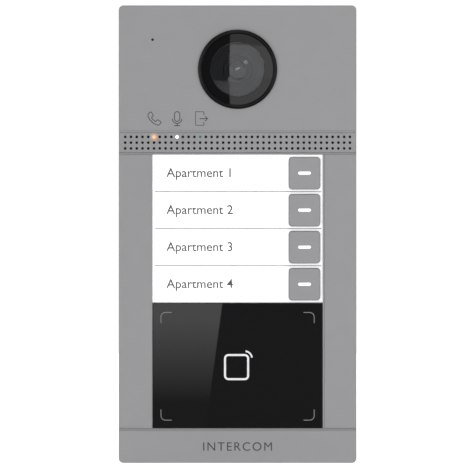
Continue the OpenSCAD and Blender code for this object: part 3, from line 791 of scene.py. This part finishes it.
# %% Shape the face
housing = rounded_block(
    "housing", (housing_low.x, housing_high.x), (0, face), (housing_low.z, housing_high.z), 2.4 * mm, 8
)
levels = (module_low - step, module_low, module_high, band_low, band_high, band_high + step)
steps_back = ((module_low, module_high, face - rail), (band_low, band_high, face - strip_face))
for level in levels:
    edit_all(housing)
    bpy.ops.mesh.bisect(plane_co=(0, 0, level), plane_no=(0, 0, 1))
    bpy.ops.object.mode_set(mode="OBJECT")
for low, high, amount in steps_back:
    pick(
        housing, "VERT",
        lambda vert: vert.co.y < -face + 1e-5 and low - 1e-5 < vert.co.z < high + 1e-5,
    )
    bpy.ops.transform.translate(value=(0, amount, 0))
    bpy.ops.object.mode_set(mode="OBJECT")
pick(housing, "EDGE", rims_the_front)
bevel_picked(0.45 * mm, 3)
print("housing outline:", [round(s / mm, 1) for s in housing.dimensions])

# %% Open the back and the front
inside_x = housing_high.x - wall
inside_z = housing_high.z - wall
lip = 2 * mm
combine(
    housing,
    rounded_block("tool", (-inside_x, inside_x), (-mm, ledge), (-inside_z, inside_z), 1.5 * mm),
)
combine(
    housing,
    rounded_block(
        "tool", (lip - inside_x, inside_x - lip), (0, inner_face), (lip - inside_z, inside_z - lip),
        1.5 * mm,
    ),
)
combine(housing, block("tool", (-module_half, module_half), through_face, (module_low, module_high)))
flare = block(
    "tool", (-module_half, module_half), (rail - 0.2 * mm, rail + 0.2 * mm),
    (module_low + mm, module_high - mm),
)
pick(flare, "VERT", lambda vert: vert.co.y < -rail)
bpy.ops.transform.resize(value=(1 + 0.4 * mm / module_half, 1, 1), center_override=(0, 0, 0))
bpy.ops.object.mode_set(mode="OBJECT")
combine(housing, flare)
combine(housing, rod("tool", 0, camera_z, 18.6 * mm, through_face, 96))
combine(housing, block("tool", (-0.07, 0.07), (channel_floor, 0.04), (band_low, band_high)))

# %% [markdown]
# Fine lines cross the face at both edges of each step. They are shallow grooves that a cutter leaves,
# and they are narrower than a hair is thick twice over, so each is cut as one slim box. The screw
# bosses, the microphone's hole, the light holes and the sound slot come last.

# %% Grooves, holes and bosses
groove = 0.15 * mm
for level, depth in (
    (band_high + step, face), (module_high, rail), (module_low, rail), (module_low - step, face),
):
    combine(
        housing, block("tool", (-0.07, 0.07), (depth - 0.2 * mm, 0.04), (level - groove, level + groove))
    )
combine(
    housing,
    block(
        "tool", (43.78 * mm, 43.95 * mm), (rail - 0.2 * mm, 0.04),
        (module_low + 0.4 * mm, module_high - 0.4 * mm),
    ),
)
light_z = strip_low.z + 4.9 * mm + 2.91 * mm
light_pipes = [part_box(node) for node in ("light_pipe_call", "light_pipe_talk", "light_pipe_unlock")]
light_xs = [(low.x + high.x) / 2 for low, high in light_pipes]
combine(housing, rod("tool", microphone_x, microphone_z, 0.65 * mm, through_face, 24))
combine(
    housing,
    block(
        "tool", (-57.6 * mm, 57.6 * mm), (channel_floor - 0.3 * mm, 0.04),
        (band_low + 0.5 * mm, band_high - 0.5 * mm),
    ),
)
sound_slot_z = (camera_z - 38.35 * mm, camera_z - 33.55 * mm)
combine(housing, block("tool", (7 * mm, 43 * mm), through_face, sound_slot_z))
for x in light_xs:
    combine(housing, rod("tool", x, light_z, 1.45 * mm, through_face, 24))
for x, z in case_screws:
    boss = rod("tool", x, z, 3.5 * mm, (12 * mm, inner_face + 0.2 * mm), 32)
    combine(boss, rod("tool", x, z, 1.5 * mm, (11 * mm, 20.5 * mm), 24))
    combine(housing, boss, "UNION")
for x in (-30 * mm, 30 * mm):
    for radius in (1.7, 2.9):
        top = wall + 0.5 * mm if radius < 2 else 1.5 * mm
        bpy.ops.mesh.primitive_cylinder_add(
            vertices=32, radius=radius * mm, depth=top + mm,
            location=(x, -6.5 * mm, housing_low.z - mm / 2 + top / 2),
        )
        combine(housing, settle("tool"))
put_on(smooth(clean(housing)), housing_paint, nodes=["front_housing"])

# %% Dark plug in the microphone's hole, painted shade that darkens the hole
hole_shade_plug = rod(
    "microphone_hole_shade", microphone_x, microphone_z, 0.62 * mm,
    (inner_face + 0.1 * mm, inner_face + 1.2 * mm), 24,
)
put_on(hole_shade_plug, lens_black)

# %% [markdown]
# ## The sound band
#
# The band is a strip of sheet pierced with three rows of forty holes. One drill bit is repeated with
# two Array modifiers and all its holes are cut at once, which is quicker and truer than a picture
# of holes.

# %% Pierced strip
strip = block(
    "sound_strip", (strip_low.x, strip_high.x), (channel_floor, strip_face), (strip_low.z, strip_high.z)
)
soften(strip, 0.08 * mm)
pitch = 2.91 * mm
sound_hole = 0.7 * mm
columns, rows = 40, 3
first_x = -(columns - 1) / 2 * pitch
band_middle = (strip_low.z + strip_high.z) / 2
bit = rod("bits", first_x, band_middle - pitch, sound_hole, through_face, 20)
for count, offset in ((columns, (pitch, 0, 0)), (rows, (0, 0, pitch))):
    repeat = bit.modifiers.new("repeat", "ARRAY")
    repeat.count = count
    repeat.use_relative_offset = False
    repeat.use_constant_offset = True
    repeat.constant_offset_displace = offset
    take(bit)
    bpy.ops.object.modifier_apply(modifier=repeat.name)
combine(strip, bit)
put_on(smooth(strip), grille_paint, nodes=["grille_strip"])

# %% [markdown]
# ## The camera
#
# The ring, the dome and what lies under it are all turned about one axis, so each is an outline that
# is spun. The outline is drawn point by point, from the inner edge outwards and back.

# %% Ring
neck = 18.4 * mm
ring_outer = (bezel_high.x - bezel_low.x) / 2
ring = turned(
    "camera_ring",
    [
        (neck - 1.2 * mm, face - 7 * mm), (neck, face - 7 * mm), (neck, face), (ring_outer, face),
        (ring_outer, face + 0.8 * mm), (ring_outer - 1 * mm, face + 1.4 * mm),
        (neck + 0.1 * mm, face + 1.4 * mm), (neck - 0.3 * mm, face + 1 * mm),
        (neck - 0.3 * mm, face - 0.4 * mm), (neck - 1.2 * mm, face - 0.4 * mm),
        (neck - 1.2 * mm, face - 7 * mm),
    ],
    128,
)
soften(ring, 0.18 * mm, 3, 25)
put_on(ring, bezel_black, nodes=["camera_bezel"])

# %% Dome
dome_low, dome_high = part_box("dome_cover")
dome_radius = (dome_high.x - dome_low.x) / 2
dome_edge = face + 0.6 * mm
dome_top = -dome_low.y
dome_wall = 1.5 * mm
ball = (dome_radius**2 + (dome_top - dome_edge) ** 2) / (2 * (dome_top - dome_edge))


def cap_points(ball_radius, reach, stop, count):
    """Points of an arc from one distance off the axis to another, as (radius, depth)."""
    centre = dome_top - ball
    lean, end = math.asin(reach / ball_radius), math.asin(stop / ball_radius)
    leans = [lean + (end - lean) * i / count for i in range(count + 1)]
    return [(ball_radius * math.sin(a), centre + ball_radius * math.cos(a)) for a in leans]


border = 13.7 * mm
inner_ball = ball - dome_wall
inner_reach = math.sqrt(inner_ball**2 - (face - (dome_top - ball)) ** 2)
outside = cap_points(ball, border, 0, 20)
inside = cap_points(inner_ball, border, 0, 20)
dome = turned("dome", [*outside, *reversed(inside), outside[0]], 128)
put_on(smooth(dome, 30), dome_tint, nodes=["dome_cover"])
outside = cap_points(ball, dome_radius, border, 12)
inside = cap_points(inner_ball, inner_reach, border, 4)
rim = turned("dome_border", [(dome_radius, face), *outside, *reversed(inside), (dome_radius, face)], 128)
put_on(smooth(rim, 30), border_black)

# %% Hood and barrel under the dome
hood_outer = neck - 1.3 * mm
hood = turned(
    "lens_surround",
    [
        (7.6 * mm, face - 7.5 * mm), (hood_outer, face - 7.5 * mm), (hood_outer, face - 0.5 * mm),
        (hood_outer - 0.3 * mm, face - 0.5 * mm), (13.7 * mm, face - 3 * mm), (13.7 * mm, face - 5 * mm),
        (10.3 * mm, face - 5 * mm), (10.3 * mm, face - 5.4 * mm), (9.8 * mm, face - 5.4 * mm),
        (9.8 * mm, face - 5 * mm), (7.6 * mm, face - 5 * mm), (7.6 * mm, face - 7.5 * mm),
    ],
)
soften(hood, 0.08 * mm, 2, 25)
put_on(hood, lens_black, nodes=["lens_hood"])
barrel_back = 15.2 * mm
barrel = turned(
    "lens_tube",
    [
        (3.6 * mm, barrel_back), (6 * mm, barrel_back), (6 * mm, face - 7 * mm), (7.4 * mm, face - 7 * mm),
        (7.4 * mm, face - 3.4 * mm), (7 * mm, face - 3 * mm), (5.6 * mm, face - 3 * mm),
        (4.6 * mm, face - 3.8 * mm), (4.6 * mm, face - 5.2 * mm), (3.6 * mm, face - 5.2 * mm),
        (3.6 * mm, barrel_back),
    ],
)
soften(barrel, 0.1 * mm, 2, 25)
put_on(barrel, lens_black, nodes=["lens_barrel"])

# %% [markdown]
# ## Name plates and buttons
#
# Each row has a clear cover with a rounded window for its button. The cover is modelled once and
# copied down the rows, and so is the button, because a maker moulds one tool and uses it four times.

# %% Covers
rows_count = 4
cover_boxes = [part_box(f"name_window_{k}") for k in range(1, rows_count + 1)]
button_boxes = [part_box(f"call_button_{k}") for k in range(1, rows_count + 1)]
top_cover_low, top_cover_high = cover_boxes[0]
button_x = (button_boxes[0][0].x + button_boxes[0][1].x) / 2
button_half = Vector((7.8 * mm, 0, 8 * mm))
fit = 0.3 * mm


def row_middle(k):
    return (cover_boxes[k][0].z + cover_boxes[k][1].z) / 2


def copy_to_row(model, k, name):
    """A copy of the first row's piece, with a mesh of its own, moved to row k."""
    copy = model.copy()
    copy.data = model.data.copy()
    copy.name = name
    copy.data.name = name
    scene.collection.objects.link(copy)
    copy.location.z = row_middle(k) - row_middle(0)
    take(copy)
    bpy.ops.object.transform_apply(location=True)
    return copy


cover = block(
    "cover_model", (top_cover_low.x, top_cover_high.x), (-top_cover_high.y, -top_cover_low.y),
    (top_cover_low.z, top_cover_high.z),
)
hole_x = (button_x - button_half.x - fit, button_x + button_half.x + fit)
hole_z = (row_middle(0) - button_half.z - fit, row_middle(0) + button_half.z + fit)
combine(cover, rounded_block("tool", hole_x, through_face, hole_z, 1.8 * mm))
soften(cover, 0.15 * mm)

# %% Buttons and their marks
cap_face = -button_boxes[0][0].y
skirt_back = -button_boxes[0][1].y
first_z = row_middle(0)
cap = rounded_block(
    "button_model", (button_x - button_half.x, button_x + button_half.x), (skirt_back + 1 * mm, cap_face),
    (first_z - button_half.z, first_z + button_half.z), 1.5 * mm, 8,
)
pick(cap, "EDGE", rims_the_front)
bevel_picked(0.45 * mm, 4)
skirt = rounded_block(
    "tool", (button_boxes[0][0].x, button_boxes[0][1].x), (skirt_back, skirt_back + 1 * mm),
    (button_boxes[0][0].z, button_boxes[0][1].z), 1.5 * mm,
)
combine(cap, skirt, "UNION")
hollow = 6.3 * mm
combine(
    cap,
    rounded_block(
        "tool", (button_x - hollow, button_x + hollow), (skirt_back - mm, cap_face - 2 * mm),
        (first_z - hollow - 0.2 * mm, first_z + hollow + 0.2 * mm), 1 * mm,
    ),
)
stem_depth = (cap_face - 3.3 * mm, cap_face - 1.8 * mm)
combine(cap, rod("tool", button_x, first_z, 2.6 * mm, stem_depth, 32), "UNION")
mark_low, mark_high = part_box("button_mark_1")


def mark_shape(name, grow, depth):
    x = (mark_low.x - grow, mark_high.x + grow)
    z = (mark_low.z - grow, mark_high.z + grow)
    return rounded_block(name, x, depth, z, (z[1] - z[0]) / 2 - 0.01 * mm, 8)


combine(cap, mark_shape("tool", 0.03 * mm, (cap_face - 2 * mm, 0.04)))
smooth(cap)
mark = mark_shape("mark_model", 0, (-mark_high.y, -mark_low.y))
soften(mark, 0.08 * mm)

# %% Place the rows
for k in range(rows_count):
    number = k + 1
    put_on(
        copy_to_row(cover, k, f"cover_{number}"), clear_cover,
        nodes=[f"name_window_{number}"],
    )
    put_on(
        copy_to_row(cap, k, f"button_{number}"), button_paint, f"button_{number}",
        [f"call_button_{number}"],
    )
    put_on(
        copy_to_row(mark, k, f"mark_{number}"), mark_white, f"button_{number}",
        [f"button_mark_{number}"],
    )
for model in (cover, cap, mark):
    bpy.data.objects.remove(model)


# %% [markdown]
# ## The keypad mat
#
# Behind each button stands a soft dome of silicone, and all four rise from one sheet. On the real mat
# a dome gives way when its button is pressed and flattens towards the board by as much as the button
# travels; here each dome is built at rest and stays as it is.

# %% Keypad mat
mat_low, mat_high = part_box("keypad_mat")
mat_base, pad_face = -mat_high.y, -mat_low.y
sheet_face = mat_base + 0.8 * mm
sheet = rounded_block(
    "keypad_sheet", (mat_low.x, mat_high.x), (mat_base, sheet_face), (mat_low.z, mat_high.z), 1 * mm
)
for k in range(rows_count):
    combine(sheet, rod("tool", button_x, row_middle(k), 6.02 * mm, (0.01, 0.03), 48))
put_on(smooth(sheet), finishes["mat_silicone"], nodes=["keypad_mat"])
for k in range(rows_count):
    z = row_middle(k)
    soft_dome = turned(
        f"keypad_dome_{k + 1}",
        [
            (0, pad_face), (3.6 * mm, pad_face), (3.6 * mm, pad_face - 0.8 * mm),
            (5.4 * mm, pad_face - 1.8 * mm), (6 * mm, sheet_face), (6 * mm, mat_base), (5.4 * mm, mat_base),
            (5.4 * mm, sheet_face), (4.8 * mm, pad_face - 1.9 * mm), (3 * mm, pad_face - 0.8 * mm),
            (0, pad_face - 0.8 * mm), (0, pad_face),
        ],
        48, (button_x, z),
    )
    put_on(smooth(soft_dome), finishes["mat_silicone"])
    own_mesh(soft_dome)

# %% [markdown]
# ## The back
#
# The wall plate, the shell, the sockets and the screws keep the shape of the solid model, which is
# exact but razor-sharp. A real edge is never that sharp, and it is the thin line of light on an edge
# that makes metal look like metal. So each is copied, its loose triangles are joined into whole
# faces, and its edges are rounded a little.

# %% Finer copies of the solid parts
body_of = {node: body for body, nodes in frame["record"]["behaviour"]["bodies"].items() for node in nodes}


def finer(node, width, segments=2):
    """A copy of a solid part with joined faces and rounded edges, which then stands for it."""
    piece = bpy.data.objects.new(f"{node}_finer", frame["nodes"][node].data.copy())
    piece.data.name = piece.name
    scene.collection.objects.link(piece)
    edit_all(piece)
    bpy.ops.mesh.remove_doubles(threshold=2e-6)
    bpy.ops.mesh.dissolve_limited(angle_limit=math.radians(1))
    bpy.ops.object.mode_set(mode="OBJECT")
    soften(piece, width, segments)
    return put_on(piece, finishes[slots[node]], body_of[node], [node])


for node, width in (
    ("wall_plate", 0.15 * mm), ("rear_shell", 0.2 * mm), ("terminal_blocks", 0.12 * mm),
    ("network_socket", 0.1 * mm), ("case_screws", 0.12 * mm), ("set_screws", 0.08 * mm),
    ("tamper_plunger", 0.1 * mm),
):
    finer(node, width)

# %% [markdown]
# ## Printing
#
# The names on the cards, the three signs above the lights and the corners and sign on the reader are
# print. Print has almost no thickness, so each is a very thin sheet that lies on its surface. The
# names are plain generic labels.

# %% Labels on the cards
card_face = -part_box("name_card_1")[0].y
print_thickness = 0.02 * mm


def lettering(
    name, words, size, x, z, depth, spacing=1.0, align="LEFT", weight=0.0, thickness=print_thickness
):
    """Words as a thin sheet of print, upright on a surface at a depth off the wall."""
    bpy.ops.object.select_all(action="DESELECT")
    bpy.ops.object.text_add(location=(x, -depth, z), rotation=(math.radians(90), 0, 0))
    text = bpy.context.object
    text.data.body = words
    text.data.size = size / mm
    text.data.resolution_u = 6
    text.data.align_x = align
    text.data.align_y = "CENTER"
    text.data.space_character = spacing
    text.data.extrude = thickness / 2 / mm
    text.data.offset = weight / mm
    take(text)
    bpy.ops.object.convert(target="MESH")
    edit_all(bpy.context.object)
    bpy.ops.mesh.remove_doubles(threshold=0.0005)
    bpy.ops.object.mode_set(mode="OBJECT")
    bpy.context.object.scale = (mm, mm, mm)
    return settle(name)


for k in range(rows_count):
    label = lettering(
        f"label_{k + 1}", f"Apartment {k + 1}", 6.5 * mm, -35.9 * mm, row_middle(k),
        card_face + print_thickness / 2, weight=0.07 * mm,
    )
    put_on(label, label_ink)


# %% Outline helper
def outline(name, x, z, depth, radius, stroke, thickness=print_thickness, segments=6):
    """A rounded frame of print: one thin rounded block with a smaller one cut out of it."""
    piece = rounded_block(name, x, (depth, depth + thickness), z, radius, segments)
    inner = rounded_block(
        "tool", (x[0] + stroke, x[1] - stroke), (depth - mm, depth + mm), (z[0] + stroke, z[1] - stroke),
        max(radius - stroke, 0.1 * mm), segments,
    )
    return combine(piece, inner)


# %% Seams between the rows
seam_depth = (card_face + 0.05 * mm, -top_cover_low.y - 0.25 * mm)
for k in range(rows_count - 1):
    level = (row_middle(k) + row_middle(k + 1)) / 2
    seam = block(
        f"row_seam_{k + 1}", (top_cover_low.x + mm, top_cover_high.x - 0.6 * mm), seam_depth,
        (level - 0.3 * mm, level + 0.3 * mm),
    )
    soften(seam, 0.03 * mm, 1)
    put_on(seam, seam_grey)

# %% Drawn line helper
def arc(x, z, radius, start, end, count=12):
    """Points of an arc, in degrees anticlockwise from the right as the panel is seen from the front."""
    angles = [math.radians(start + (end - start) * i / count) for i in range(count + 1)]
    return [(x + radius * math.cos(a), z + radius * math.sin(a)) for a in angles]


def drawn(name, strokes, depth, stroke):
    """Lines of print: each row of (x, z) points becomes a flattened thread that lies on the surface."""
    threads = []
    for points in strokes:
        draw_line([(x, -depth, z) for x, z in points])
        bpy.ops.object.mode_set(mode="OBJECT")
        bpy.ops.object.convert(target="CURVE")
        thread = bpy.context.object
        thread.data.bevel_depth = stroke / 2
        thread.data.bevel_resolution = 2
        thread.data.use_fill_caps = True
        bpy.ops.object.convert(target="MESH")
        threads.append(bpy.context.object)
    bpy.ops.object.select_all(action="DESELECT")
    for thread in threads:
        thread.select_set(True)
    bpy.context.view_layer.objects.active = threads[0]
    if len(threads) > 1:
        bpy.ops.object.join()
    piece = settle(name)
    edit_all(piece)
    bpy.ops.mesh.remove_doubles(threshold=1e-6)
    bpy.ops.mesh.normals_make_consistent(inside=False)
    bpy.ops.transform.resize(value=(1, 0.12, 1), center_override=(0, -depth, 0))
    bpy.ops.object.mode_set(mode="OBJECT")
    return piece


# %% Signs above the lights
def at(x, z, points):
    """Moves points given in millimetres to a place on the face."""
    return [((x + px) * mm, (z + pz) * mm) for px, pz in points]


sign_stroke = 0.42 * mm
handset = [
    (-3.3, 2.2), (-2.2, 3.3), (-1.6, 3.1), (-0.7, 1.7), (-0.8, 1.2), (-1.5, 0.6), (-1.3, 0.0), (0.0, -1.3),
    (0.6, -1.5), (1.2, -0.8), (1.7, -0.7), (3.1, -1.6), (3.3, -2.2), (2.2, -3.3), (1.2, -3.3), (-0.6, -2.4),
    (-2.4, -0.6), (-3.3, 1.2), (-3.3, 2.2),
]
put_on(drawn("handset_sign", [at(-41.9, 58.4, handset)], face, sign_stroke), ink)
capsule = arc(0, 2.1, 1.35, 0, 180) + arc(0, -0.1, 1.35, 180, 360) + [(1.35, 2.1)]
cradle = arc(0, -0.1, 2.4, 180, 360, 16)
stem, foot = [(0, -2.5), (0, -3.6)], [(-1.5, -3.6), (1.5, -3.6)]
microphone_strokes = [at(-30.5, 58.4, line) for line in (capsule, cradle, stem, foot)]
put_on(drawn("microphone_sign", microphone_strokes, face, sign_stroke), ink)
frame_line = [(1.2, 1.7), (1.2, 3.4), (-3.0, 3.4), (-3.0, -3.4), (1.2, -3.4), (1.2, -1.9)]
arrow_line, arrow_head = [(-0.9, -0.1), (3.0, -0.1)], [(1.8, 1.1), (3.1, -0.1), (1.8, -1.3)]
door_strokes = [at(-18.2, 58.4, line) for line in (frame_line, arrow_line, arrow_head)]
put_on(drawn("door_sign", door_strokes, face, sign_stroke), ink)

# %% Word on the chin
word = lettering(
    "panel_word", "INTERCOM", 6.2 * mm, 0, -107.4 * mm, face + print_thickness / 2, 1.2, "CENTER"
)
put_on(word, word_ink)
print("word:", [round(s / mm, 2) for s in word.dimensions])

# %% Reader window
reader_front = -reader_low.y
window_x = (reader_low.x + 2.2 * mm, reader_high.x - 2.2 * mm)
window_z = (reader_low.z + 2.1 * mm, reader_high.z - 0.1 * mm)
window = block("reader_front", window_x, (reader_front - 2.6 * mm, reader_front), window_z)
pick(window, "EDGE", rims_the_front)
bevel_picked(0.2 * mm, 2)
flange = block(
    "tool", (reader_low.x, reader_high.x), (reader_front - 3.9 * mm, reader_front - 2.6 * mm),
    (reader_low.z, reader_high.z),
)
combine(window, flange, "UNION")
for x in (-40 * mm, 40 * mm):
    for z in (module_low + 5 * mm, reader_high.z - 4.9 * mm):
        combine(window, rod("tool", x, z, 2.4 * mm, (24 * mm, reader_front - 3.8 * mm), 32), "UNION")
        combine(window, rod("tool", x, z, 1.4 * mm, (-reader_high.y, 24.1 * mm), 32), "UNION")
put_on(smooth(window), reader_black, nodes=["reader_window"])

# %% Corners and sign on the reader
target_x, target_z, arm = 38.9 * mm, (-94.1 * mm, -39.3 * mm), 5.6 * mm
corners = outline("reader_corners", (-target_x, target_x), target_z, reader_front, 2.5 * mm, 0.4 * mm)
combine(corners, block("tool", (arm - target_x, target_x - arm), through_face, (-0.11, 0)))
combine(corners, block("tool", (-0.06, 0.06), through_face, (target_z[0] + arm, target_z[1] - arm)))
put_on(corners, line_grey)
sign_x, sign_z = -0.5 * mm, -67.1 * mm
sign = outline(
    "reader_sign", (sign_x - 6.35 * mm, sign_x + 6.35 * mm), (sign_z - 6.6 * mm, sign_z + 6.6 * mm),
    reader_front, 2.3 * mm, 1.02 * mm, segments=8,
)
put_on(sign, icon_white)
wave_centre = (sign_x + 4.05 * mm, sign_z + 4.3 * mm)
wave = drawn("reader_wave", [arc(*wave_centre, 3.75 * mm, 8, 82, 10)], reader_front, 0.85 * mm)
put_on(wave, icon_white)
print("reader front at", round(reader_front / mm, 2), "mm")
